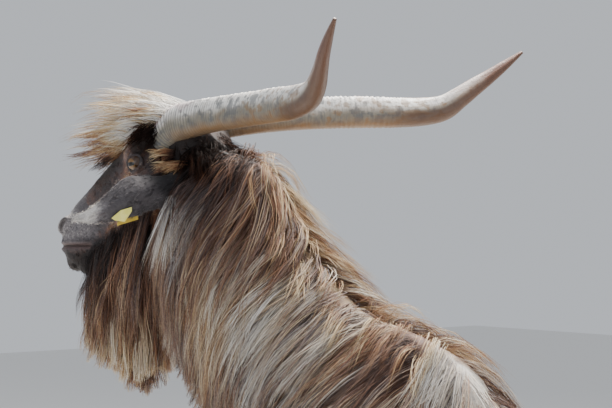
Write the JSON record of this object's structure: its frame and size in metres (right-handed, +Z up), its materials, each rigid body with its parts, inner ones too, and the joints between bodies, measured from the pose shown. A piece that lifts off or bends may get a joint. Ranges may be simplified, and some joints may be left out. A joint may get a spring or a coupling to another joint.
{
  "type": "goat",
  "caption": "Life-size standing model of a long-haired bearded buck with wide sweeping horns, its head turned to the left, with an ear tag.",
  "frame": {"origin": "on the floor, under the middle of the box round the whole goat", "axes": "+Z up; the goat's body points along -X, its left side is towards -Y, and its head is turned to the left; +X runs back along the length"},
  "size_m": [1.2722, 0.6592, 1.2255],
  "materials": {
    "coat_brown": "long straight hair, red-brown to dark brown",
    "coat_cream": "long straight hair, cream and silver-grey with brown streaks",
    "coat_grey": "short slate-grey hair",
    "horn": "ridged horn, cream to ochre",
    "hoof": "dark hoof horn, satin",
    "eye": "wet amber eye with a bar pupil",
    "tag_yellow": "yellow moulded tag, blank"
  },
  "bodies": {
    "root": {"barrel": "coat_brown", "beard": "coat_brown", "ear_left": "coat_grey", "ear_right": "coat_grey", "eye_left": "eye", "eye_right": "eye", "foreleg_left_cannon": "coat_grey", "foreleg_left_claw_near": "hoof", "foreleg_left_claw_off": "hoof", "foreleg_left_dewclaw_near": "hoof", "foreleg_left_dewclaw_off": "hoof", "foreleg_left_pastern": "coat_grey", "foreleg_left_upper": "coat_brown", "foreleg_right_cannon": "coat_grey", "foreleg_right_claw_near": "hoof", "foreleg_right_claw_off": "hoof", "foreleg_right_dewclaw_near": "hoof", "foreleg_right_dewclaw_off": "hoof", "foreleg_right_pastern": "coat_grey", "foreleg_right_upper": "coat_brown", "forelock": "coat_cream", "head": "coat_grey", "hindleg_left_cannon": "coat_grey", "hindleg_left_claw_near": "hoof", "hindleg_left_claw_off": "hoof", "hindleg_left_dewclaw_near": "hoof", "hindleg_left_dewclaw_off": "hoof", "hindleg_left_pastern": "coat_grey", "hindleg_left_upper": "coat_brown", "hindleg_right_cannon": "coat_grey", "hindleg_right_claw_near": "hoof", "hindleg_right_claw_off": "hoof", "hindleg_right_dewclaw_near": "hoof", "hindleg_right_dewclaw_off": "hoof", "hindleg_right_pastern": "coat_grey", "hindleg_right_upper": "coat_brown", "horn_left": "horn", "horn_right": "horn", "lower_jaw": "coat_grey", "neck_lower": "coat_cream", "neck_upper": "coat_brown", "rump": "coat_brown", "shoulders": "coat_cream", "tag_pin": "tag_yellow", "tag_plate": "tag_yellow", "tag_strip": "tag_yellow", "tail": "coat_brown"}
  },
  "joints": []
}
